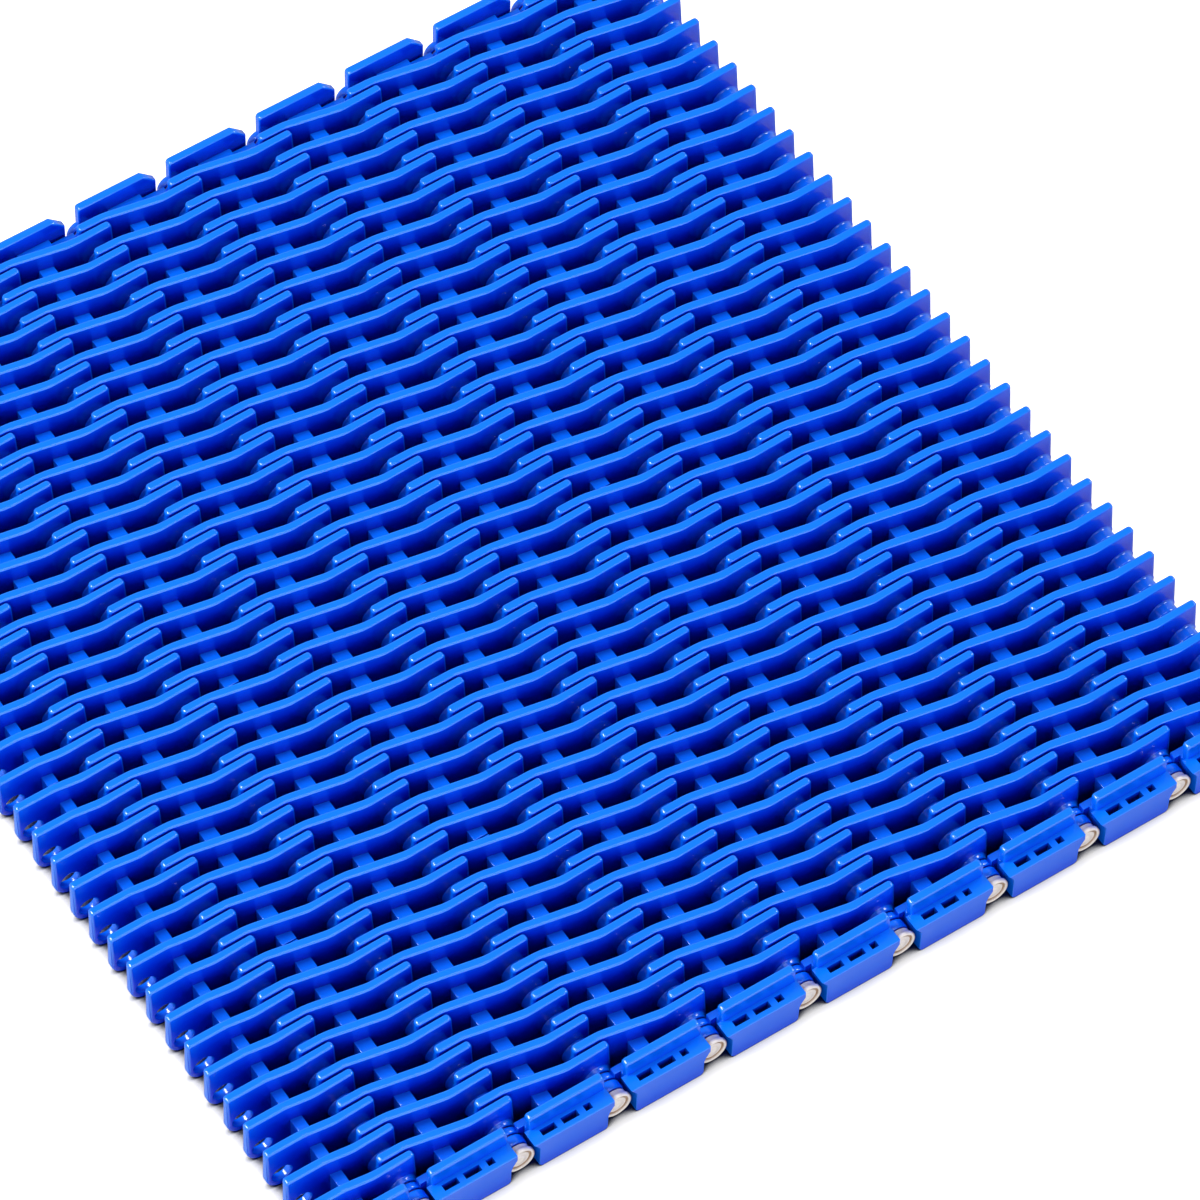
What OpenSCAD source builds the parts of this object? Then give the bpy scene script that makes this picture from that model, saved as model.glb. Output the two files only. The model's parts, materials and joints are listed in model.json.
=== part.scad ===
// Modular plastic belt: ten rows of S-shaped link modules joined by nine headed hinge rods.
// X is the running direction, Y runs along the hinge rods, Z is up; the belt lies flat on Z = 0.

/* [Belt] */
// Pitch of a standard row, hinge axis to hinge axis
row_pitch = 25.4; // [22:0.1:32]
// Pitch of the shorter end row on the left
end_pitch = 20; // [18:0.1:26]
// Height of the ribs above the running face
belt_h = 14.5; // [13.5:0.1:17]
// Spacing of the S ribs across the belt
rib_pitch = 8.25; // [7.6:0.05:10]

/* [Ribs] */
// Thickness of every rib
rib_t = 2.2; // [1.9:0.05:2.35]
// Sideways step of a standard rib between its two ends
jog = 2.6; // [2.5:0.05:2.9]
// Sideways step of a rib in the end row
end_jog = 0.6; // [0.3:0.05:1.2]
// How far the right end of a rib swings back between its bend and its tip
toe = 0.3; // [0:0.05:0.4]
// Straight length of a standard rib past its left hinge axis
lead = 3.1; // [2:0.1:4]
// Straight length of an end-row rib past its left hinge axis
end_lead = 6.4; // [5:0.1:8]
// Straight length of a rib before its right hinge axis
tail = 7.6; // [7:0.1:8.4]
// Straight length of an end-row rib before its right hinge axis
end_tail = 7; // [6.4:0.1:8]
// How far the bends of a rib's far face lie behind those of its near face
bend_lag = 1; // [0.6:0.1:1.4]
// How much thinner a rib is at its right tip
tip_taper = 0.3; // [0.1:0.05:0.4]
// Radius of the top corners of a rib
corner_r = 1; // [0.6:0.1:1.5]
// Slope of the rib ends, as run for each unit of height
end_draft = 0.03; // [0:0.01:0.06]
// Width of the crossbar along the belt
bar_w = 3.8; // [3:0.05:5]
// Width of the crossbar in the end row
end_bar_w = 2.8; // [2.4:0.05:4]
// How far the crossbar lies left of the row's middle
bar_shift = 1.4; // [0.8:0.1:1.8]
// Drop from the rib tops to the top of the crossbar
bar_drop = 5.3; // [4:0.1:6]
// Height of the crossbar's underside
bar_low = 2.2; // [1.5:0.1:4]

/* [Hinge] */
// Height of the hinge axis above the running face
hinge_z = 4.5; // [4.4:0.05:5]
// Diameter of the hinge rod
rod_d = 4.6; // [4:0.1:4.8]
// Radial running clearance of the rod in its eyes
rod_gap = 0.07; // [0.03:0.01:0.1]
// Radius of the round knuckle beside each right rib end
knuckle_r = 3.5; // [3.2:0.05:3.9]
// Size of the fillet where a knuckle meets its rib
knuckle_fillet = 0.7; // [0.4:0.1:1]
// Reach of a left rib end past its hinge axis
left_reach = 3.95; // [3.6:0.05:4.2]
// Reach of a right rib end past its hinge axis
right_reach = 4.3; // [3.9:0.05:4.4]
// Side clearance between parts of neighbouring rows
side_gap = 0.35; // [0.3:0.05:0.4]

/* [Rod head] */
// How far the rod runs past the middle of the far plate
rod_past = 0.4; // [0:0.1:0.8]
// Diameter of the head's flange
flange_d = 7.6; // [7.2:0.1:8.2]
// Thickness of the head's flange
flange_t = 1; // [0.6:0.1:1.4]
// Diameter of the head behind the flange
head_d = 6.6; // [6:0.1:7]
// Length of the head with its flange
head_l = 2.3; // [2:0.05:2.45]
// Width of the raised rim around the head's face
rim_w = 0.8; // [0.5:0.1:1.2]
// Depth of the dish inside the rim
dish = 0.4; // [0.2:0.05:0.6]
// Diameter of the centre disc in the dish
disc_d = 2.8; // [2:0.1:3.6]

/* [Edges] */
// Width of the guide block outside its tall rib
block_w = 3.95; // [3.8:0.05:5]
// Drop from the rib tops to the block's deck
deck_drop = 4.6; // [4.2:0.1:5]
// Thickness of the block's outer wall, which keeps the rod head in
lip_t = 1.2; // [1:0.1:1.4]
// Width of the pockets in the deck
pocket_w = 1.65; // [1.4:0.05:1.8]
// Depth of the pockets in the deck
pocket_deep = 6; // [3:0.1:7]
// Wall between a pocket and the tall rib
pocket_wall = 0.9; // [0.6:0.05:1]
// Clearance around the rod head
head_gap = 0.4; // [0.3:0.05:0.5]
// Distance from the left hinge axis to the far edge's web
web_start = 7.2; // [5:0.1:9]
// Length of the far edge's web
web_l = 9; // [5:0.1:10]
// Distance from the left hinge axis to the near edge's web, behind the low eye
eye_web_start = 4.4; // [4:0.1:5]
// Length of the near edge's web
eye_web_l = 3; // [2:0.1:4]
// Size of the cut corner at the right of the far plate
far_corner = 3.5; // [2:0.1:4.5]

/* [Hidden] */
rows = 10;
ribs = 32;                                     // S ribs in a row
half_t = rib_t / 2;
bore_r = rod_d / 2 + rod_gap;
deck_z = belt_h - deck_drop;
bar_z = belt_h - bar_drop;
left_eye_r = hinge_z - 0.3;                    // round underside of the left rib ends
right_eye_r = hinge_z - 0.5;                   // round underside of the right rib ends
cut = 1;                                       // how far cutters run past a face
// The belt is centred: length over the rib ends, width over the two edges
belt_l = left_reach + end_pitch + (rows - 1) * row_pitch + right_reach;
first_axis_x = left_reach - belt_l / 2;
// Sideways places, measured from the straight left end of the nearest S rib
block_rib_y = -rib_pitch - 0.7;                // tall rib of the guide block
block_face_y = block_rib_y - half_t - block_w; // outer face of the guide block
far_plate_y = rib_pitch - jog;                 // tall plate of the far edge
belt_w = (ribs - 1) * rib_pitch - block_face_y + far_plate_y + half_t;
first_rib_y = -belt_w / 2 - block_face_y;
knuckle_y = half_t + side_gap - rib_pitch;     // near end of a knuckle, just short of the next rib
head_y = block_face_y + lip_t + head_gap / 2;  // outer face of the rod head
rod_end_y = (ribs - 1) * rib_pitch + far_plate_y + rod_past;
eye_top = hinge_z + knuckle_r;                 // top of the low eyes and their arms
eye_low = hinge_z - knuckle_r;
short_knuckle_y = -jog - half_t - 1.2;         // the same on the nearest rib, beside the block's eye
block_eye_y = short_knuckle_y - side_gap;

// Rows 1, 3, 5... have a seam in the middle; rows 2, 4, 6... have two seams, bricklaid
half_seam = ribs / 2;
quarter_seam = ribs / 4;

function pitch_of(row) = row == 1 ? end_pitch : row_pitch;
function left_axis(row) = first_axis_x + (row == 1 ? 0 : end_pitch + (row - 2) * row_pitch);
function rib_y(n) = first_rib_y + n * rib_pitch;
// Centre of a rib's left end, measured from the straight left end of a standard rib
function left_y(row) = row == 1 ? end_jog - jog : 0;
function lead_of(row) = row == 1 ? end_lead : lead;
function bar_w_of(row) = row == 1 ? end_bar_w : bar_w;
function bar_x_of(row) = pitch_of(row) / 2 - bar_shift;

function tail_of(row) = row == 1 ? end_tail : tail;
// Where a place along a standard row falls in this row
function along(row, x) = x * pitch_of(row) / row_pitch;

// A bend at (x, y) from slope s0 to slope s1, rounded over a length h each way
function bend(x, y, s0, s1, h, n) = [
  for (i = [0 : n]) let (t = i / n)
    [x + h * (2 * t - 1), (1 - t) * (1 - t) * (y - s0 * h) + 2 * t * (1 - t) * y + t * t * (y + s1 * h)]
];

// One face of an S rib seen from above: straight, bend at a, bend at b, then back by toe to the tip
function rib_face(row, side, a, b, h) =
  let (
    yl = left_y(row) + side * half_t, yr = side * half_t - jog - toe,
    x1 = pitch_of(row) + right_reach, y1 = side * (half_t - tip_taper / 2) - jog,
    slope = (yr - yl) / (b - a), back = (y1 - yr) / (x1 - b)
  )
  concat(
    [[-left_reach - cut, yl]], bend(a, yl, 0, slope, h, 4), bend(b, yr, slope, back, 1.5, 3),
    [[x1 + cut, y1 + cut * back]]
  );

// Outline of an S rib seen from above: tight bend in the near face, later and easier one in the far face
function rib_plan(row) =
  let (
    a = lead_of(row), b = pitch_of(row) - tail_of(row),
    far = rib_face(row, 1, a + bend_lag / 2, b + bend_lag, 2.2)
  )
  concat(rib_face(row, -1, a, b, 0.8), [for (i = [len(far) - 1 : -1 : 0]) far[i]]);

// A quarter turn of three flats, from straight up to sideways, for the top corners
function round_corner(x, z, r, side) =
  [for (i = [0 : 3]) [x + side * r * sin(i * 30), z + r * cos(i * 30)]];

// The top of a rib or plate between x0 and x1, from right to left, with round corners
function round_top(x0, x1, r = corner_r) =
  let (right = round_corner(x1 - r, belt_h - r, r, 1))
  concat([for (i = [3 : -1 : 0]) right[i]], round_corner(x0 + r, belt_h - r, r, -1));

// Outline of a rib seen from the near side: sloped ends, round top corners, round eyes below
module rib_side(row) {
  p = pitch_of(row);
  lean = end_draft * (belt_h - hinge_z);
  polygon(concat(
    [[-left_reach, left_eye_r], [left_eye_r - left_reach, 0], [p + right_reach - right_eye_r, 0],
     [p + right_reach, right_eye_r]],
    round_top(lean - left_reach, p + right_reach - lean)
  ));
  translate([left_eye_r - left_reach, left_eye_r]) circle(r = left_eye_r, $fn = 48);
  translate([p + right_reach - right_eye_r, right_eye_r]) circle(r = right_eye_r, $fn = 48);
}

// A plate in the XZ plane, t thick, with its far face at y1
module plate(y1, t) {
  translate([0, y1, 0]) rotate([90, 0, 0]) linear_extrude(t) children();
}

// A round bar along Y from y0 to y1
module y_bar(r, y0, y1, x = 0, z = hinge_z) {
  translate([x, y1, z]) rotate([90, 0, 0]) cylinder(r = r, h = y1 - y0, $fn = 48);
}

module s_rib(row, end_y = knuckle_y) {
  y = tip_taper / 2 - half_t - jog;
  intersection() {
    linear_extrude(belt_h) polygon(rib_plan(row));
    plate(rib_pitch / 2, rib_pitch) rib_side(row);
  }
  y_bar(knuckle_r, end_y, -jog, x = pitch_of(row));
  intersection() {
    plate(0, rib_pitch) rib_side(row);
    translate([pitch_of(row), y, hinge_z]) rotate([90, 0, 0])
      cylinder(r1 = knuckle_r + knuckle_fillet, r2 = knuckle_r, h = knuckle_fillet, $fn = 48);
  }
}

// Guide block of the near edge: tall rib, deck with three pockets, wall beside the rod head
module guide_block(row) {
  p = pitch_of(row);
  y1 = block_rib_y + half_t;
  y0 = block_rib_y - half_t;
  eye_y = y1 + side_gap * 2;
  difference() {
    union() {
      plate(y1, rib_t) polygon(concat(
        [[4.3, 0.7], [5, 0], [p - 3.2, 0], [p - 1.6, eye_top]], round_top(3.9, p - 1.6), [[4.3, eye_top]]
      ));
      // Deck and outer wall, hollowed at the right end to make way for the rod head
      plate(y0 + cut / 2, block_w + cut / 2) polygon([
        [4.7, 0], [p - 4, 0], [p - 3.3, 0.7], [p - 3.2, hinge_z - 0.6], [p - 3.1, hinge_z + 0.6],
        [p - 2.7, hinge_z + 1.7], [p - 2.1, hinge_z + 2.7], [p - 1.5, hinge_z + 3.6],
        [p - 1.5, deck_z], [2.9, deck_z], [4.3, eye_top - 0.4], [4.1, 0.7]
      ]);
      // Low lug around the right rod, low eye around the left rod and its arm
      y_bar(knuckle_r, y0, y1 + side_gap, x = p);
      y_bar(knuckle_r, eye_y, block_eye_y);
      translate([0, eye_y, eye_low])
        cube([eye_web_start + eye_web_l, block_eye_y - eye_y, 2 * knuckle_r]);
      translate([eye_web_start, y1 - cut / 2, eye_low]) cube([eye_web_l, eye_y - y1 + cut, 2 * knuckle_r]);
    }
    for (pocket = [[5.9, 3.85], [11.4, 4.15], [17.25, 1.8]])
      translate([along(row, pocket[0]), y0 - pocket_wall - pocket_w, deck_z - pocket_deep])
        cube([along(row, pocket[1]), pocket_w, pocket_deep + cut]);
    // Room for the heads of the left rod and of the right rod
    y_bar(flange_d / 2 + head_gap, block_face_y - cut, y0);
    y_bar(flange_d / 2 + head_gap, block_face_y + lip_t, y0, x = p);
  }
}

// Far edge: tall plate with a cut corner and a low eye, wide web, low arm with its lug
module far_edge(row) {
  p = pitch_of(row);
  y0 = far_plate_y - half_t;
  web_end = along(row, web_start + web_l);
  lug_y = half_t + side_gap;
  lug_l = y0 - side_gap - lug_y;
  plate(y0 + rib_t, rib_t) polygon(concat(
    [[0, eye_low], [3.2, 0], [p - 5, 0], [p - 4.6, 0.7], [p - 4.4, belt_h - far_corner],
     [p - 4.4 - far_corner, belt_h]],
    round_corner(corner_r - 0.6, belt_h - corner_r, corner_r, -1), [[-0.75, hinge_z]]
  ));
  y_bar(knuckle_r, y0, y0 + rib_t);
  translate([along(row, web_start), 0, bar_low]) cube([along(row, web_l), y0 + cut / 2, bar_z - bar_low]);
  translate([web_end - cut, lug_y, eye_low]) cube([p - web_end + cut, lug_l, 2 * knuckle_r]);
  y_bar(knuckle_r, lug_y, lug_y + lug_l, x = p);
}

// One moulding: S ribs n0 to n1, the crossbar, and the edge parts it carries
module belt_module(row, n0, n1) {
  near = n0 == 0;
  far = n1 == ribs - 1;
  p = pitch_of(row);
  seam = 0.1;
  half_way = (left_y(row) - jog) / 2;
  y0 = near ? rib_y(0) + block_rib_y : rib_y(n0) + half_way - rib_pitch / 2 + seam;
  y1 = far ? rib_y(n1) : rib_y(n1) + half_way + rib_pitch / 2 - seam;
  color("royalblue") translate([left_axis(row), 0, 0]) difference() {
    union() {
      for (n = [n0 : n1])
        translate([0, rib_y(n), 0]) s_rib(row, n == 0 ? short_knuckle_y : knuckle_y);
      translate([bar_x_of(row) - bar_w_of(row) / 2, y0, bar_low])
        cube([bar_w_of(row), y1 - y0, bar_z - bar_low]);
      if (near) translate([0, rib_y(0), 0]) guide_block(row);
      if (far) translate([0, rib_y(ribs - 1), 0]) far_edge(row);
    }
    for (x = [0, p]) y_bar(bore_r, -belt_w, belt_w, x = x);
  }
}

module near_module(row) belt_module(row, 0, (row % 2 == 1 ? half_seam : quarter_seam) - 1);
module centre_module(row) belt_module(row, quarter_seam, ribs - quarter_seam - 1);
module far_module(row) belt_module(row, row % 2 == 1 ? half_seam : ribs - quarter_seam, ribs - 1);

// Hinge rod k joins rows k and k + 1: plain rod, stepped head, rim and disc on the head's face
module rod(k) {
  y0 = first_rib_y + head_y;
  color("ivory") translate([left_axis(k + 1), 0, 0]) {
    y_bar(rod_d / 2, y0 + head_l - cut, first_rib_y + rod_end_y);
    difference() {
      union() {
        y_bar(head_d / 2, y0 + flange_t / 2, y0 + head_l);
        y_bar(flange_d / 2, y0, y0 + flange_t);
      }
      y_bar(flange_d / 2 - rim_w, y0 - cut, y0 + dish);
    }
    y_bar(disc_d / 2, y0 + dish / 2, y0 + dish + cut / 2);
  }
}

near_module(1);  // row_01_near_module
far_module(1);  // row_01_far_module
near_module(2);  // row_02_near_module
centre_module(2);  // row_02_centre_module
far_module(2);  // row_02_far_module
near_module(3);  // row_03_near_module
far_module(3);  // row_03_far_module
near_module(4);  // row_04_near_module
centre_module(4);  // row_04_centre_module
far_module(4);  // row_04_far_module
near_module(5);  // row_05_near_module
far_module(5);  // row_05_far_module
near_module(6);  // row_06_near_module
centre_module(6);  // row_06_centre_module
far_module(6);  // row_06_far_module
near_module(7);  // row_07_near_module
far_module(7);  // row_07_far_module
near_module(8);  // row_08_near_module
centre_module(8);  // row_08_centre_module
far_module(8);  // row_08_far_module
near_module(9);  // row_09_near_module
far_module(9);  // row_09_far_module
near_module(10);  // row_10_near_module
centre_module(10);  // row_10_centre_module
far_module(10);  // row_10_far_module
rod(1);  // rod_01
rod(2);  // rod_02
rod(3);  // rod_03
rod(4);  // rod_04
rod(5);  // rod_05
rod(6);  // rod_06
rod(7);  // rod_07
rod(8);  // rod_08
rod(9);  // rod_09
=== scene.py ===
"""Modular plastic belt: blue moulded link rows on cream hinge rods, on a pale floor."""
import json
import math

import bmesh
import bpy
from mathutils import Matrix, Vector

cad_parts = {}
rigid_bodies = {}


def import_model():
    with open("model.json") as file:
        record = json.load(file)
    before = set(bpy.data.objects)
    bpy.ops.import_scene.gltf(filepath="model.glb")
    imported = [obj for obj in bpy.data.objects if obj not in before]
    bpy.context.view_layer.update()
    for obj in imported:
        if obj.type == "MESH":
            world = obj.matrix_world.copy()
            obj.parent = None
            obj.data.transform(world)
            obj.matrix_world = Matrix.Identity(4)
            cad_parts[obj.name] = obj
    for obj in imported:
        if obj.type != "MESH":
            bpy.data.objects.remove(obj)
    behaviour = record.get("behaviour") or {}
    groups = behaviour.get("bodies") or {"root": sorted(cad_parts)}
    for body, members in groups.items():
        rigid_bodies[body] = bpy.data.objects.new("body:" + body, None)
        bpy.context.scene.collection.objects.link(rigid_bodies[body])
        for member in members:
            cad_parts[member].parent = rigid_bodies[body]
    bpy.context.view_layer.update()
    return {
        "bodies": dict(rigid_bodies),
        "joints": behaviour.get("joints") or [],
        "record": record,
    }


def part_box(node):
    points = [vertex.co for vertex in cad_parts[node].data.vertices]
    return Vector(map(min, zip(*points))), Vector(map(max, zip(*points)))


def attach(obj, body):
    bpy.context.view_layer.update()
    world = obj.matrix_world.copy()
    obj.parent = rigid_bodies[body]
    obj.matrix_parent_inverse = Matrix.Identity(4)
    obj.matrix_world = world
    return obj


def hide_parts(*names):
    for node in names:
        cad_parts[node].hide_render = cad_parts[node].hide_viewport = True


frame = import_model()
MM = 0.001

# Sizes of the mouldings in millimetres, as in the part's source
ROW_PITCH, RIB_PITCH, RIBS = 25.4, 8.25, 32
BELT_H, HINGE_Z = 14.5, 4.5
RIB_T, JOG, END_JOG, TOE = 2.2, 2.6, 0.6, 0.3
LEAD, END_LEAD, TAIL, END_TAIL = 3.1, 6.4, 7.6, 7.0
BEND_LAG, TIP_TAPER = 1.0, 0.3
LEFT_REACH, RIGHT_REACH, DRAFT = 3.95, 4.3, 0.03
LEFT_EYE_R, RIGHT_EYE_R = HINGE_Z - 0.3, HINGE_Z - 0.5
BORE_R, KNUCKLE_R, FILLET = 2.37, 3.5, 0.7
SIDE_GAP = 0.35
KNUCKLE_Y = RIB_T / 2 + SIDE_GAP - RIB_PITCH
KNUCKLE_ROOT = 0.5  # how far a knuckle starts inside its rib
SHORT_KNUCKLE_Y = -JOG - RIB_T / 2 - 1.2
BAR_W, END_BAR_W, BAR_SHIFT = 3.8, 2.8, 1.4
BAR_TOP, BAR_LOW = BELT_H - 5.3, 2.2
CORNER_R, SEAM = 1.0, 0.1
DECK_Z, BLOCK_W, LIP_T = BELT_H - 4.6, 3.95, 1.2
POCKET_W, POCKET_DEEP, POCKET_WALL = 1.65, 6.0, 0.9
POCKETS = ((5.9, 3.85), (11.4, 4.15), (17.25, 1.8))
EYE_LOW, EYE_TOP = HINGE_Z - KNUCKLE_R, HINGE_Z + KNUCKLE_R
EYE_WEB_START, EYE_WEB_L = 4.4, 3.0
ARM_START, ARM_LOW, ARM_TOP = BORE_R + 0.4, EYE_LOW + 0.1, EYE_TOP - 0.1
WEB_START, WEB_L, FAR_CORNER = 7.2, 9.0, 3.5
ROD_D, HEAD_D, HEAD_L, FLANGE_D, FLANGE_T = 4.6, 6.6, 2.3, 7.6, 1.0
RIM_W, DISH, DISC_D, HEAD_GAP, MOAT = 0.8, 0.4, 2.8, 0.4, 0.35
ROD_EDGE, ROD_CHAMFER, CORE_R, ROD_SIDES = 0.15, 0.4, 0.01, 40

# Places across the belt, from the straight left end of the nearest rib
BLOCK_RIB_Y = -RIB_PITCH - 0.7
BLOCK_FACE_Y = BLOCK_RIB_Y - RIB_T / 2 - BLOCK_W
FAR_PLATE_Y = RIB_PITCH - JOG
BLOCK_EYE_Y = SHORT_KNUCKLE_Y - SIDE_GAP

# Rounding of the moulded edges
RIB_ROUND, BLOCK_ROUND, BAR_ROUND, EYE_ROUND = 0.5, 0.3, 0.2, 0.5
NOSE_R, END_NOSE_R, NOSE_FLAT = 1.0, 0.5, 0.45  # rib ends seen from above; the flat is a share of the width
SHARP_EDGE = 48.0  # degrees; an edge that turns by more stays sharp
QUARTER = (0.0, 0.52, 1.05, 1.57)  # angles of a quarter round, in radians

# Places along the belt, from the frame: LEFT_AXES holds the left hinge axis of each row
ROWS = len(frame["bodies"])
HINGES = sorted(joint["pos_m"][0] / MM for joint in frame["joints"])
LEFT_END = next(m for m in frame["record"]["mounts"] if m["name"] == "left_hinge_bore")["pos_m"][0] / MM
LEFT_AXES = [LEFT_END] + HINGES
END_PITCH = HINGES[0] - LEFT_END
FIRST_RIB_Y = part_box("row_01_near_module")[0].y / MM - BLOCK_FACE_Y

# Blue plastic with painted light and shade: lighter colours for tops and ends, deeper ones for sides, each
# darker where closed in, and a painted near-black shade for the gaps between the ribs
BLUE_DEEP, BLUE_FULL, BLUE_PAINTED_LOW_TOP = (0.0, 0.175, 0.95, 1.0), (0.0, 0.192, 0.98, 1.0), (0.0, 0.15, 0.98, 1.0)
BLUE_SIDE, BLUE_OUTSIDE = (0.0, 0.045, 0.99, 1.0), (0.0, 0.145, 0.98, 1.0)
BLUE_PAINTED_SHADE = (0.0, 0.001, 0.07, 1.0)

# Cream rod plastic, and the shade in its grooves
CREAM_WARM, CREAM_PALE, CREAM_GROOVE = (1.0, 0.90, 0.82, 1.0), (1.0, 0.95, 0.90, 1.0), (0.5, 0.34, 0.22, 1.0)
GRAIN_DEPTH = 0.05 * MM

# Setting
FLOOR_COLOUR, FLOOR_PAINTED_SHADE = (0.5, 0.497, 0.49, 1.0), (0.0, 0.005, 0.05, 1.0)
FLOOR_SIZE, FLOOR_DROP, FLOOR_GLOW = 12.0, 0.02 * MM, 0.95
BLACK, WHITE = (0.0, 0.0, 0.0, 1.0), (1.0, 1.0, 1.0, 1.0)
HORIZON_LIGHT, OVERHEAD_LIGHT = 0.5, 0.14
LAMP_DISTANCE = 1.6
CAMERA_AZIMUTH, CAMERA_ELEVATION, CAMERA_DISTANCE = -33.2, 55.4, 1.598
CAMERA_AIM, LENS = Vector((13.6, -27.0, BELT_H)) * MM, 208.47


class Tie:
    """A shader socket that can be used in Python sums; each operator adds its Math node."""

    def __init__(self, sheet, socket):
        self.sheet = sheet
        self.socket = socket

    def maths(self, operation, other, swap=False):
        pair = (other, self) if swap else (self, other)
        return self.sheet.node("ShaderNodeMath", {"operation": operation}, {0: pair[0], 1: pair[1]})

    def __add__(self, other):
        return self.maths("ADD", other)

    __radd__ = __add__

    def __sub__(self, other):
        return self.maths("SUBTRACT", other)

    def __rsub__(self, other):
        return self.maths("SUBTRACT", other, swap=True)

    def __mul__(self, other):
        return self.maths("MULTIPLY", other)

    __rmul__ = __mul__


class Sheet:
    """The node sheet of a material or world. node() makes any node from its type, settings and inputs."""

    def __init__(self, owner):
        owner.use_nodes = True
        self.owner = owner
        self.tree = owner.node_tree
        self.tree.nodes.clear()

    def node(self, kind, settings=None, inputs=None, out=0):
        made = self.tree.nodes.new(kind)
        for key, value in (settings or {}).items():
            setattr(made, key, value)
        for key, value in (inputs or {}).items():
            if isinstance(value, Tie):
                self.tree.links.new(value.socket, made.inputs[key])
            else:
                made.inputs[key].default_value = value
        return Tie(self, made.outputs[out]) if made.outputs else None

    def place(self):
        return self.node("ShaderNodeTexCoord", out="Object")

    def noise(self, scale, detail=2.0, roughness=0.5):
        settings = {"Vector": self.place(), "Scale": scale, "Detail": detail, "Roughness": roughness}
        return self.node("ShaderNodeTexNoise", None, settings)

    def open_sky(self, distance, samples):
        """How open a place is to the room: 1 in the open, near 0 where the mouldings close it in."""
        return self.node("ShaderNodeAmbientOcclusion", {"samples": samples}, {"Distance": distance}, out="AO")

    def step(self, value, low, high, first=0.0, second=1.0):
        """Goes smoothly from first to second while value goes from low to high."""
        settings = {"interpolation_type": "SMOOTHSTEP"}
        return self.node("ShaderNodeMapRange", settings, {0: value, 1: low, 2: high, 3: first, 4: second})

    def tint(self, share, first, second):
        return self.node("ShaderNodeMix", {"data_type": "RGBA"}, {0: share, 6: first, 7: second}, out=2)

    def grain(self, strength, scale, detail):
        """Fine unevenness of a moulded surface."""
        settings = {"Strength": strength, "Distance": GRAIN_DEPTH, "Height": self.noise(scale, detail)}
        return self.node("ShaderNodeBump", None, settings)

    def finish(self, shader, output="ShaderNodeOutputMaterial"):
        self.node(output, None, {"Surface": shader})
        return self.owner


def moulded_blue():
    """Glossy blue moulded plastic with painted light and shade: painted lighter on the tops and ends, deeper
    blue on the sides, and painted dark shade in the gaps.
    """
    sheet = Sheet(bpy.data.materials.new("moulded blue plastic"))
    cloud = sheet.noise(70.0, 3.0)
    normal = sheet.node("ShaderNodeTexCoord", out="Normal")
    up = sheet.node("ShaderNodeSeparateXYZ", None, {0: normal}, out=2)
    ahead = sheet.node("ShaderNodeSeparateXYZ", None, {0: normal})
    end = sheet.node("ShaderNodeMath", {"operation": "ABSOLUTE"}, {0: ahead})
    open_sky = sheet.open_sky(12 * MM, 4)
    # Painted light: faces turned up or towards the belt's ends take the lighter top colour, and the other
    # faces take the deeper side colour
    painted_lit_facing = sheet.step(up.maths("MAXIMUM", end), 0.15, 0.8)
    # Painted shade: where ambient occlusion finds a place closed in, tops turn a darker blue, sides a deeper
    # blue, and the gaps near-black
    top = sheet.tint(sheet.step(open_sky, 0.1, 0.8), BLUE_PAINTED_LOW_TOP, sheet.tint(cloud, BLUE_DEEP, BLUE_FULL))
    side = sheet.tint(sheet.step(open_sky, 0.4, 0.85), BLUE_SIDE, BLUE_OUTSIDE)
    colour = sheet.tint(painted_lit_facing, sheet.tint(sheet.step(open_sky, 0.05, 0.32), BLUE_PAINTED_SHADE, side), top)
    return sheet.finish(sheet.node("ShaderNodeBsdfPrincipled", None, {
        "Base Color": colour, "Roughness": 0.13 + 0.05 * cloud, "Normal": sheet.grain(0.03, 1400.0, 2.0),
        "IOR": 1.5, "Specular IOR Level": 0.9,
    }))


def cream_rod():
    """Natural, slightly waxy rod plastic with faint warm clouding and shaded grooves."""
    sheet = Sheet(bpy.data.materials.new("natural cream plastic"))
    cloud = sheet.noise(160.0, 4.0)
    clean = sheet.tint(cloud, CREAM_WARM, CREAM_PALE)
    colour = sheet.tint(sheet.step(sheet.open_sky(1.6 * MM, 8), 0.55, 0.97), CREAM_GROOVE, clean)
    return sheet.finish(sheet.node("ShaderNodeBsdfPrincipled", None, {
        "Base Color": colour, "Roughness": 0.26 + 0.1 * cloud, "Normal": sheet.grain(0.12, 900.0, 3.0),
        "IOR": 1.48,
    }))


# ---- Mesh helpers: each returns a bmesh in millimetres, at the place of rib 0 of a row ----

def arc(x, z, r, start, end, steps):
    """Points on an arc in the XZ plane, angles in degrees from +X towards +Z."""
    return [
        (x + r * math.cos(math.radians(start + (end - start) * i / steps)),
         z + r * math.sin(math.radians(start + (end - start) * i / steps)))
        for i in range(steps + 1)
    ]


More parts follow.
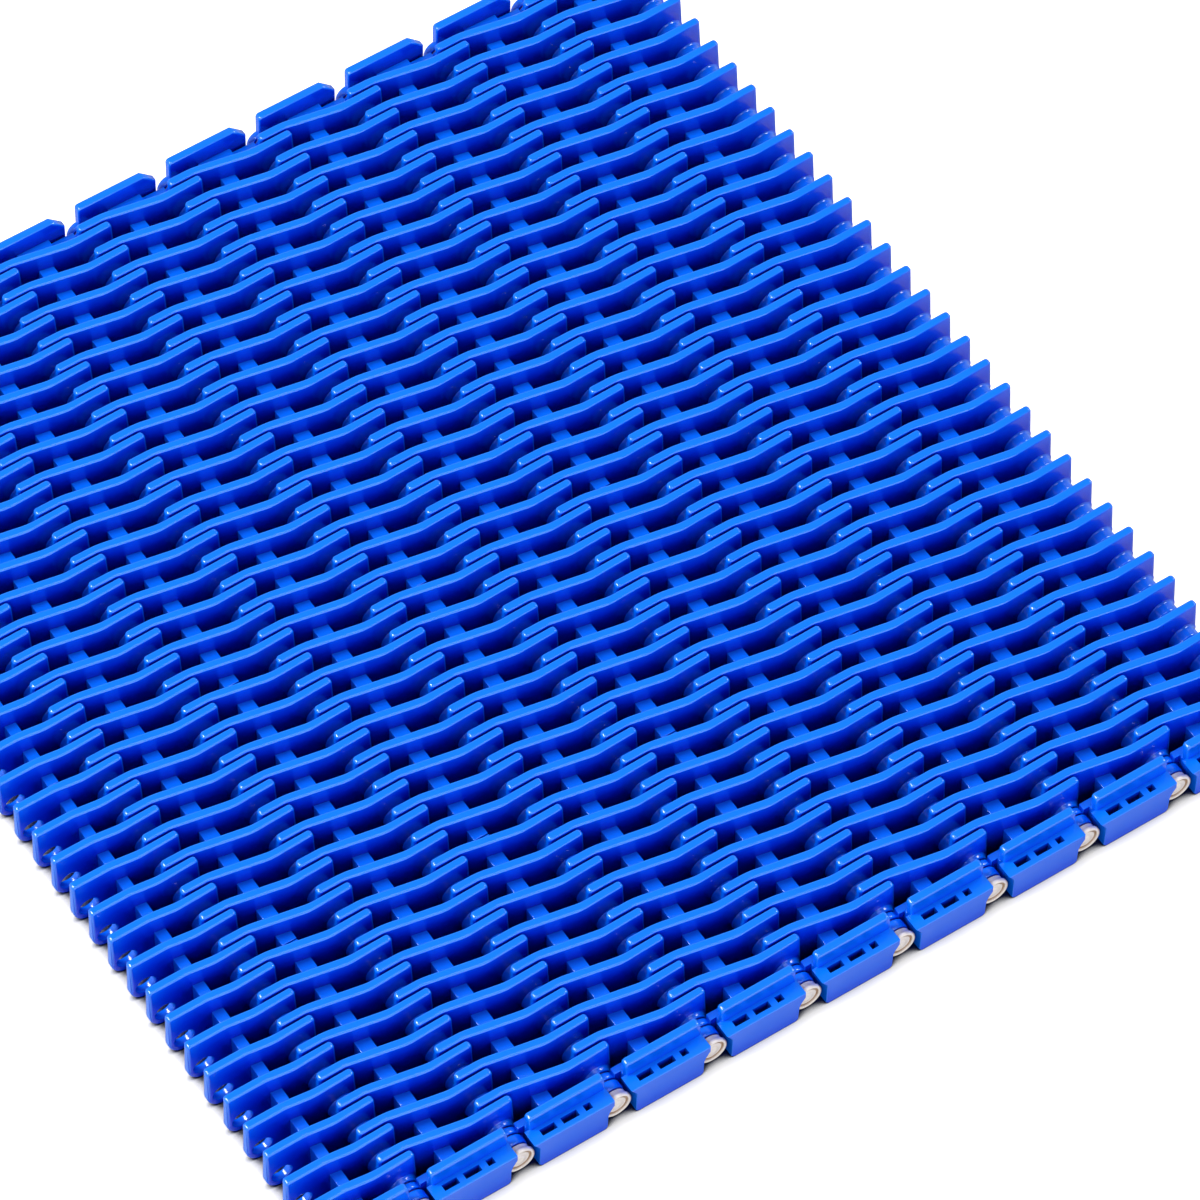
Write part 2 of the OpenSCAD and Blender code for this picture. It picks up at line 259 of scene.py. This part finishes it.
def plate(outline, y0, y1, edge, holes=(), edge_steps=2):
    """An XZ outline made into a plate from y0 to y1 with rounded edges and round holes."""
    curve = bpy.data.curves.new("plate", "CURVE")
    curve.dimensions, curve.fill_mode = "2D", "BOTH"
    curve.extrude, curve.bevel_depth, curve.offset = (y1 - y0) / 2 - edge, edge, -edge
    curve.bevel_resolution = edge_steps
    loops = [outline] + [arc(x, z, r, 0, 360 - 360 / 28, 27) for x, z, r in holes]
    for loop in loops:
        spline = curve.splines.new("POLY")
        spline.points.add(len(loop) - 1)
        for point, (x, z) in zip(spline.points, loop):
            point.co = (x, z, 0, 1)
        spline.use_cyclic_u = True
    holder = bpy.data.objects.new("plate", curve)
    mesh = holder.to_mesh()
    made = bmesh.new()
    made.from_mesh(mesh)
    holder.to_mesh_clear()
    bpy.data.objects.remove(holder)
    bpy.data.curves.remove(curve)
    bmesh.ops.remove_doubles(made, verts=made.verts, dist=1e-4)
    middle = (y0 + y1) / 2
    for v in made.verts:
        v.co = (v.co.x, middle - v.co.z, v.co.y)
    return made


def lathe(profile, x, steps=36):
    """(radius, y) points turned round the hinge axis at x; the profile is a closed loop."""
    made = bmesh.new()
    rings = []
    for i in range(steps):
        turn = 2 * math.pi * i / steps
        rings.append([
            made.verts.new((x + r * math.cos(turn), y, HINGE_Z + r * math.sin(turn))) for r, y in profile
        ])
    count = len(profile)
    for i in range(steps):
        here, there = rings[i], rings[(i + 1) % steps]
        for k in range(count):
            n = (k + 1) % count
            made.faces.new((here[k], there[k], there[n], here[n]))
    bmesh.ops.recalc_face_normals(made, faces=made.faces)
    return made


def ring(r, bore, y0, y1, x, edge=EYE_ROUND, steps=36):
    """A round eye or knuckle with rounded rims, bored right through."""
    low = [(r - edge + edge * math.sin(t), y0 + edge - edge * math.cos(t)) for t in QUARTER]
    high = [(r - edge + edge * math.cos(t), y1 - edge + edge * math.sin(t)) for t in QUARTER]
    return lathe([(bore, y0)] + low + high + [(bore, y1)], x, steps)


def block(x0, x1, y0, y1, z0, z1, edge):
    """A box with rounded edges."""
    made = bmesh.new()
    bmesh.ops.create_cube(made, size=1.0)
    for v in made.verts:
        v.co = (
            x0 + (v.co.x + 0.5) * (x1 - x0), y0 + (v.co.y + 0.5) * (y1 - y0), z0 + (v.co.z + 0.5) * (z1 - z0)
        )
    bmesh.ops.bevel(made, geom=made.edges[:], offset=edge, segments=2, affect="EDGES", profile=0.5)
    return made


def add(target, part, y=0.0):
    """Copies one bmesh into another, moved along the hinge rods by y."""
    mesh = bpy.data.meshes.new("part")
    part.to_mesh(mesh)
    before = len(target.verts)
    target.from_mesh(mesh)
    bpy.data.meshes.remove(mesh)
    target.verts.ensure_lookup_table()
    for v in target.verts[before:]:
        v.co.y += y


def add_all(target, parts):
    """Adds parts that are needed once and frees them."""
    for part in parts:
        add(target, part)
        part.free()


# ---- The S rib ----

def row_sizes(row):
    """Pitch, straight lengths, left-end offset and crossbar width of a row."""
    if row == 1:
        return END_PITCH, END_LEAD, END_TAIL, END_JOG - JOG, END_BAR_W
    return ROW_PITCH, LEAD, TAIL, 0.0, BAR_W


def face_line(row, side, a, b, h):
    """One face of an S rib seen from above: straight, bend at a, bend at b, then back to the tip."""
    pitch, _, _, left_y, _ = row_sizes(row)
    yl, yr = left_y + side * RIB_T / 2, side * RIB_T / 2 - JOG - TOE
    x1, y1 = pitch + RIGHT_REACH, side * (RIB_T - TIP_TAPER) / 2 - JOG
    slope, back = (yr - yl) / (b - a), (y1 - yr) / (x1 - b)
    bends = ((a, yl, 0.0, slope, h), (b, yr, slope, back, 1.5))

    def at(x):
        for px, py, before, after, reach in bends:
            if x < px - reach:
                return py + before * (x - px)
            if x < px + reach:
                t = (x - px + reach) / (2 * reach)
                start, end = py - before * reach, py + after * reach
                return (1 - t) ** 2 * start + 2 * t * (1 - t) * py + t * t * end
        return yr + back * (x - b)

    return at, [px + reach * k / 2 for px, _, _, _, reach in bends for k in range(-2, 3)]


def s_rib(row, knuckle_y):
    """One S rib with its knuckle: a rounded side profile, bent sideways along the row."""
    pitch, lead, tail, _, _ = row_sizes(row)
    half, lean = RIB_T / 2, DRAFT * (BELT_H - HINGE_Z)
    x0, x1 = -LEFT_REACH + lean, pitch + RIGHT_REACH - lean
    lc, rc = LEFT_EYE_R - LEFT_REACH, pitch + RIGHT_REACH - RIGHT_EYE_R
    outline = (
        arc(x1 - CORNER_R, BELT_H - CORNER_R, CORNER_R, 0, 90, 5)
        + arc(x0 + CORNER_R, BELT_H - CORNER_R, CORNER_R, 90, 180, 5)
        + arc(lc, LEFT_EYE_R, LEFT_EYE_R, 180, 270, 9) + arc(rc, RIGHT_EYE_R, RIGHT_EYE_R, 270, 360, 9)
    )
    made = plate(outline, -half, half, RIB_ROUND, [(0, HINGE_Z, BORE_R), (pitch, HINGE_Z, BORE_R)])
    near, near_stations = face_line(row, -1, lead, pitch - tail, 0.8)
    far, far_stations = face_line(row, 1, lead + BEND_LAG / 2, pitch - tail + BEND_LAG, 2.2)
    left_r = END_NOSE_R if row == 1 else NOSE_R
    noses = [x + reach * k for x, reach in ((x0, left_r), (x1, -NOSE_R)) for k in (0.1, 0.25, 0.5, 0.75, 1.0)]
    for x in sorted(near_stations + far_stations + noses):
        geom = made.verts[:] + made.edges[:] + made.faces[:]
        bmesh.ops.bisect_plane(made, geom=geom, plane_co=(x, 0, 0), plane_no=(1, 0, 0), dist=1e-5)
    for v in made.verts:
        inside = 1.0
        if v.co.z > HINGE_Z:
            inside = min((v.co.x - x0) / left_r, (x1 - v.co.x) / NOSE_R, 1.0)
        fullness = NOSE_FLAT + (1 - NOSE_FLAT) * math.sqrt(max(0.0, 1 - (1 - inside) ** 2))
        share = 0.5 + v.co.y / RIB_T * fullness
        v.co.y = (1 - share) * near(v.co.x) + share * far(v.co.x)
    y = TIP_TAPER / 2 - half - JOG
    flare = [(KNUCKLE_R + FILLET * (1 - math.sin(t)), y - FILLET * (1 - math.cos(t))) for t in QUARTER]
    rim = [
        (KNUCKLE_R - EYE_ROUND * (1 - math.cos(t)), knuckle_y + EYE_ROUND * (1 - math.sin(t)))
        for t in QUARTER
    ]
    root = [(BORE_R, y + KNUCKLE_ROOT), (KNUCKLE_R, y + KNUCKLE_ROOT)]
    add_all(made, [lathe(root + flare + rim + [(BORE_R, knuckle_y)], pitch)])
    return made


# ---- The edges ----

def along(row, x):
    """A place or length along a standard row, brought to this row's pitch."""
    return x * row_sizes(row)[0] / ROW_PITCH


def cut_out(body, cutters):
    """Takes the cutters out of a body with exact booleans, and frees them all."""
    made = []
    for part in [body] + cutters:
        mesh = bpy.data.meshes.new("work")
        part.to_mesh(mesh)
        part.free()
        piece = bpy.data.objects.new("work", mesh)
        bpy.context.scene.collection.objects.link(piece)
        made.append(piece)
    for tool in made[1:]:
        cut = made[0].modifiers.new("cut", "BOOLEAN")
        cut.operation, cut.solver, cut.object = "DIFFERENCE", "EXACT", tool
    shape = made[0].evaluated_get(bpy.context.evaluated_depsgraph_get())
    result = bmesh.new()
    result.from_mesh(shape.to_mesh())
    shape.to_mesh_clear()
    for piece in made:
        mesh = piece.data
        bpy.data.objects.remove(piece)
        bpy.data.meshes.remove(mesh)
    return result


def drill(r, y0, y1, x):
    """A plain round cutter along the hinge axis."""
    made = bmesh.new()
    bmesh.ops.create_cone(made, cap_ends=True, segments=48, radius1=r, radius2=r, depth=y1 - y0)
    for v in made.verts:
        v.co = (x + v.co.x, (y0 + y1) / 2 - v.co.z, HINGE_Z + v.co.y)
    return made


def pocket(x, length, y):
    """A square cutter for one deck pocket, from x along the belt and from y towards the open face."""
    hollow = bmesh.new()
    bmesh.ops.create_cube(hollow, size=1.0)
    for v in hollow.verts:
        v.co = (
            x + (v.co.x + 0.5) * length, y - (0.5 - v.co.y) * POCKET_W,
            DECK_Z - POCKET_DEEP + (v.co.z + 0.5) * (POCKET_DEEP + 1),
        )
    return hollow


def guide_block(row):
    """Tall rib, deck with pockets, hollow end round the rod head, lug and low eye."""
    p = row_sizes(row)[0]
    y1, y0 = BLOCK_RIB_Y + RIB_T / 2, BLOCK_RIB_Y - RIB_T / 2
    eye_y = y1 + SIDE_GAP * 2
    x1 = p - 1.6
    tall = (
        arc(x1 - CORNER_R, BELT_H - CORNER_R, CORNER_R, 0, 90, 5)
        + arc(3.9 + CORNER_R, BELT_H - CORNER_R, CORNER_R, 90, 180, 5)
        + [(4.3, EYE_TOP), (4.3, 0.7), (5.0, 0.0), (p - 3.2, 0.0), (x1, EYE_TOP)]
    )
    made = plate(tall, y0, y1, RIB_ROUND)
    scoop = [
        (4.7, 0), (p - 4, 0), (p - 3.3, 0.7), (p - 3.2, HINGE_Z - 0.6), (p - 3.1, HINGE_Z + 0.6),
        (p - 2.7, HINGE_Z + 1.7), (p - 2.1, HINGE_Z + 2.7), (p - 1.5, HINGE_Z + 3.6),
        (p - 1.5, DECK_Z), (2.9, DECK_Z), (4.3, EYE_TOP - 0.4), (4.1, 0.7),
    ]
    deck = plate(scoop, y0 - BLOCK_W, y0 + 0.6, BLOCK_ROUND)
    cutters = [pocket(along(row, start), along(row, length), y0 - POCKET_WALL) for start, length in POCKETS]
    cutters.append(drill(FLANGE_D / 2 + HEAD_GAP, BLOCK_FACE_Y - 1, y0, 0))
    cutters.append(drill(FLANGE_D / 2 + HEAD_GAP, BLOCK_FACE_Y + LIP_T, y0, p))
    deck = cut_out(deck, cutters)
    arm_end = EYE_WEB_START + EYE_WEB_L
    parts = [
        deck, ring(KNUCKLE_R, BORE_R, y0, y1 + SIDE_GAP, p), ring(KNUCKLE_R, BORE_R, eye_y, BLOCK_EYE_Y, 0),
        block(ARM_START, arm_end, eye_y, BLOCK_EYE_Y, ARM_LOW, ARM_TOP, BAR_ROUND),
        block(EYE_WEB_START, arm_end, y1 - 0.5, eye_y + 0.5, ARM_LOW, ARM_TOP, BAR_ROUND),
        block(p - 4.0, p - ARM_START, y0, y1, ARM_LOW, ARM_TOP, BAR_ROUND),
    ]
    add_all(made, parts)
    return made


def far_edge(row):
    """Tall plate with a cut corner and a low eye, wide web, low arm with its lug."""
    p = row_sizes(row)[0]
    y0 = FAR_PLATE_Y - RIB_T / 2
    web_end = along(row, WEB_START + WEB_L)
    lug_y, lug_end = RIB_T / 2 + SIDE_GAP, y0 - SIDE_GAP
    left = CORNER_R - 0.6
    outline = (
        [(p - 4.4, BELT_H - FAR_CORNER), (p - 4.4 - FAR_CORNER, BELT_H)]
        + arc(left, BELT_H - CORNER_R, CORNER_R, 90, 180, 5)
        + [(-0.75, HINGE_Z + 3.4)] + arc(0, HINGE_Z, KNUCKLE_R, 103, 262, 12)
        + [(3.2, 0), (p - 5, 0), (p - 4.6, 0.7)]
    )
    made = plate(outline, y0, y0 + RIB_T, RIB_ROUND, [(0, HINGE_Z, BORE_R)])
    parts = [
        block(along(row, WEB_START), web_end, 0.2, y0 + 0.5, BAR_LOW, BAR_TOP, BAR_ROUND),
        block(web_end - 1, p - ARM_START, lug_y, lug_end, ARM_LOW, ARM_TOP, BAR_ROUND),
        ring(KNUCKLE_R, BORE_R, lug_y, lug_end, p),
    ]
    add_all(made, parts)
    return made


# ---- Pieces ----

def make_piece(name, body, node, material, made, x):
    """Turns a bmesh in millimetres into a piece, moved along the belt by x, that stands for its CAD node."""
    bmesh.ops.recalc_face_normals(made, faces=made.faces)
    for v in made.verts:
        v.co = Vector((v.co.x + x, v.co.y, v.co.z)) * MM
    for face in made.faces:
        face.smooth = True
    for edge in made.edges:
        edge.smooth = len(edge.link_faces) == 2 and edge.calc_face_angle(math.pi) < math.radians(SHARP_EDGE)
    mesh = bpy.data.meshes.new(name)
    made.to_mesh(mesh)
    made.free()
    mesh.materials.append(material)
    piece = bpy.data.objects.new(name, mesh)
    bpy.context.scene.collection.objects.link(piece)
    even = piece.modifiers.new("even shading", "WEIGHTED_NORMAL")
    even.keep_sharp = True
    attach(piece, body)
    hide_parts(node)


def module_span(row, name):
    """First and last rib of a module: odd rows have one seam and even rows have two, as bricks in a wall."""
    if row % 2:
        return (0, RIBS // 2 - 1) if name == "near" else (RIBS // 2, RIBS - 1)
    spans = {
        "near": (0, RIBS // 4 - 1), "centre": (RIBS // 4, RIBS * 3 // 4 - 1), "far": (RIBS * 3 // 4, RIBS - 1)
    }
    return spans[name]


def mouldings(row):
    """The shapes a row is put together from: rib, nearest rib, guide block and far edge."""
    return s_rib(row, KNUCKLE_Y), s_rib(row, SHORT_KNUCKLE_Y), guide_block(row), far_edge(row)


def make_rows(material):
    """All rows, each in its modules; row 1 is short, and the others share row 2's shapes."""
    end_row, plain_row = mouldings(1), mouldings(2)
    for row in range(1, ROWS + 1):
        rib, near_rib, near_edge, far_side = end_row if row == 1 else plain_row
        pitch, _, _, left_y, bar_w = row_sizes(row)
        bar_x, half_way = pitch / 2 - BAR_SHIFT, (left_y - JOG) / 2
        for name in ("near", "far") if row % 2 else ("near", "centre", "far"):
            first, last = module_span(row, name)
            made = bmesh.new()
            for n in range(first, last + 1):
                add(made, near_rib if n == 0 else rib, FIRST_RIB_Y + n * RIB_PITCH)
            y0 = FIRST_RIB_Y + first * RIB_PITCH + half_way - RIB_PITCH / 2 + SEAM
            y1 = FIRST_RIB_Y + last * RIB_PITCH + half_way + RIB_PITCH / 2 - SEAM
            if name == "near":
                add(made, near_edge, FIRST_RIB_Y)
                y0 = FIRST_RIB_Y + BLOCK_RIB_Y
            if name == "far":
                add(made, far_side, FIRST_RIB_Y + last * RIB_PITCH)
                y1 = FIRST_RIB_Y + last * RIB_PITCH
            bar = block(bar_x - bar_w / 2, bar_x + bar_w / 2, y0, y1, BAR_LOW, BAR_TOP, BAR_ROUND)
            add_all(made, [bar])
            body = f"row_{row:02d}"
            make_piece(
                f"{body}_{name}_moulding", body, f"{body}_{name}_module", material, made,
                LEFT_AXES[row - 1],
            )


def rod_profile(y0, y1):
    """Half section of a headed rod from y0 to y1: disc, dish and rim on the near face, flange and head."""
    rod, head, flange = ROD_D / 2, HEAD_D / 2, FLANGE_D / 2
    disc, dish, rim = DISC_D / 2, y0 + DISH, flange - RIM_W
    disc_y, flange_y, head_y = y0 + DISH / 2, y0 + FLANGE_T, y0 + HEAD_L
    gate = [(CORE_R, disc_y + 0.05), (0.45, disc_y + 0.05), (0.55, disc_y)]
    disc_edge = [(disc - ROD_EDGE, disc_y), (disc, disc_y + ROD_EDGE), (disc + 0.05, dish)]
    groove = [(rim - 0.6, dish), (rim - 0.5, dish + MOAT), (rim - 0.1, dish + MOAT)]
    rim_edge = [(rim, dish - ROD_EDGE), (rim + ROD_EDGE, y0 + 0.05)]
    flange_front = [(flange - 0.35, y0), (flange - 0.1, y0 + 0.1), (flange, y0 + 0.3)]
    flange_back = [(flange, flange_y - ROD_EDGE), (flange - ROD_EDGE, flange_y)]
    head_step = [(head + ROD_EDGE, flange_y), (head, flange_y + ROD_EDGE)]
    head_end = [(head, head_y - ROD_EDGE), (head - ROD_EDGE, head_y), (rod, head_y)]
    rod_end = [(rod, y1 - ROD_CHAMFER), (rod - ROD_CHAMFER, y1), (CORE_R, y1)]
    face = gate + disc_edge + groove + rim_edge
    return face + flange_front + flange_back + head_step + head_end + rod_end


def make_rods(material):
    """The rods with their stepped heads; each rides with the row on its left."""
    for k in range(1, ROWS):
        low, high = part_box(f"rod_{k:02d}")
        made = lathe(rod_profile(low.y / MM, high.y / MM), 0, ROD_SIDES)
        make_piece(
            f"hinge_rod_{k:02d}", f"row_{k:02d}", f"rod_{k:02d}", material, made, LEFT_AXES[k]
        )


# ---- Setting ----

def pale_floor():
    """Pale floor with painted shade: near-black where the belt closes it in, with a camera-only glow that
    fades near the belt into a painted contact shadow; clear when it is looked at from below.
    """
    bpy.ops.mesh.primitive_plane_add(size=FLOOR_SIZE, location=(0, 0, -FLOOR_DROP))
    floor = bpy.context.object
    floor.name = "pale_floor"
    sheet = Sheet(bpy.data.materials.new("pale floor"))
    open_sky = sheet.open_sky(30 * MM, 24)
    seen = sheet.node("ShaderNodeLightPath", out="Is Camera Ray")
    # Painted shade: the floor colour turns near-black where the belt closes it in
    colour = sheet.tint(sheet.step(open_sky, 0.36, 0.48), FLOOR_PAINTED_SHADE, FLOOR_COLOUR)
    # The camera-only glow whitens the open floor and fades near and under the belt, painting a soft contact
    # shadow over the real one
    glow_level = sheet.step(open_sky, 0.3, 0.75, 0.0, FLOOR_GLOW) * seen
    matt = sheet.node("ShaderNodeBsdfDiffuse", None, {"Color": colour})
    glow = sheet.node("ShaderNodeEmission", None, {"Color": sheet.tint(glow_level, BLACK, WHITE)})
    from_above = sheet.node("ShaderNodeAddShader", None, {0: matt, 1: glow})
    from_below = sheet.node("ShaderNodeBsdfTransparent")
    under = sheet.node("ShaderNodeNewGeometry", out="Backfacing")
    floor.data.materials.append(sheet.finish(
        sheet.node("ShaderNodeMixShader", None, {0: under, 1: from_above, 2: from_below})
    ))


def pale_world():
    """A pale room: bright low down all round, dimmer overhead; plain white to the camera."""
    sheet = Sheet(bpy.data.worlds.new("pale room"))
    height = sheet.node("ShaderNodeSeparateXYZ", None, {0: sheet.node("ShaderNodeTexCoord")}, out=2)
    room = sheet.step(height, 0.35, 0.75, HORIZON_LIGHT, OVERHEAD_LIGHT)
    seen = sheet.node("ShaderNodeLightPath", out="Is Camera Ray")
    strength = room + seen * (1.0 - room)
    back = sheet.node("ShaderNodeBackground", None, {"Color": WHITE, "Strength": strength})
    bpy.context.scene.world = sheet.finish(back, "ShaderNodeOutputWorld")


def direction(azimuth, elevation):
    """From the belt outwards; azimuth 0 is -Y and 90 is +X, as for the camera."""
    a, e = math.radians(azimuth), math.radians(elevation)
    return Vector((math.sin(a) * math.cos(e), -math.cos(a) * math.cos(e), math.sin(e)))


def soft_box(name, azimuth, elevation, width, height, power):
    """A rectangular lamp that faces the belt; sizes in metres and power in watts."""
    data = bpy.data.lights.new(name, "AREA")
    data.shape, data.size, data.size_y = "RECTANGLE", width, height
    data.energy = power
    lamp = bpy.data.objects.new(name, data)
    bpy.context.collection.objects.link(lamp)
    back = direction(azimuth, elevation)
    lamp.location = back * LAMP_DISTANCE
    lamp.rotation_mode = "QUATERNION"
    lamp.rotation_quaternion = back.to_track_quat("Z", "Y")


def camera():
    back = direction(CAMERA_AZIMUTH, CAMERA_ELEVATION)
    data = bpy.data.cameras.new("camera")
    data.sensor_width, data.lens = 36.0, LENS
    data.clip_start, data.clip_end = 0.1, 20.0
    seat = bpy.data.objects.new("camera", data)
    bpy.context.collection.objects.link(seat)
    seat.location = CAMERA_AIM + back * CAMERA_DISTANCE
    seat.rotation_mode = "QUATERNION"
    seat.rotation_quaternion = back.to_track_quat("Z", "Y")
    bpy.context.scene.camera = seat


make_rows(moulded_blue())
make_rods(cream_rod())
pale_floor()
pale_world()
soft_box("left window", -114.0, 44.0, 0.55, 0.55, 19.0)
soft_box("right window", 94.0, 40.0, 0.45, 0.45, 10.0)
soft_box("front window", -15.0, 25.0, 2.4, 1.3, 14.0)
soft_box("top panel", 0.0, 88.0, 0.8, 0.8, 4.0)
camera()
bpy.context.scene.view_settings.view_transform = "Standard"
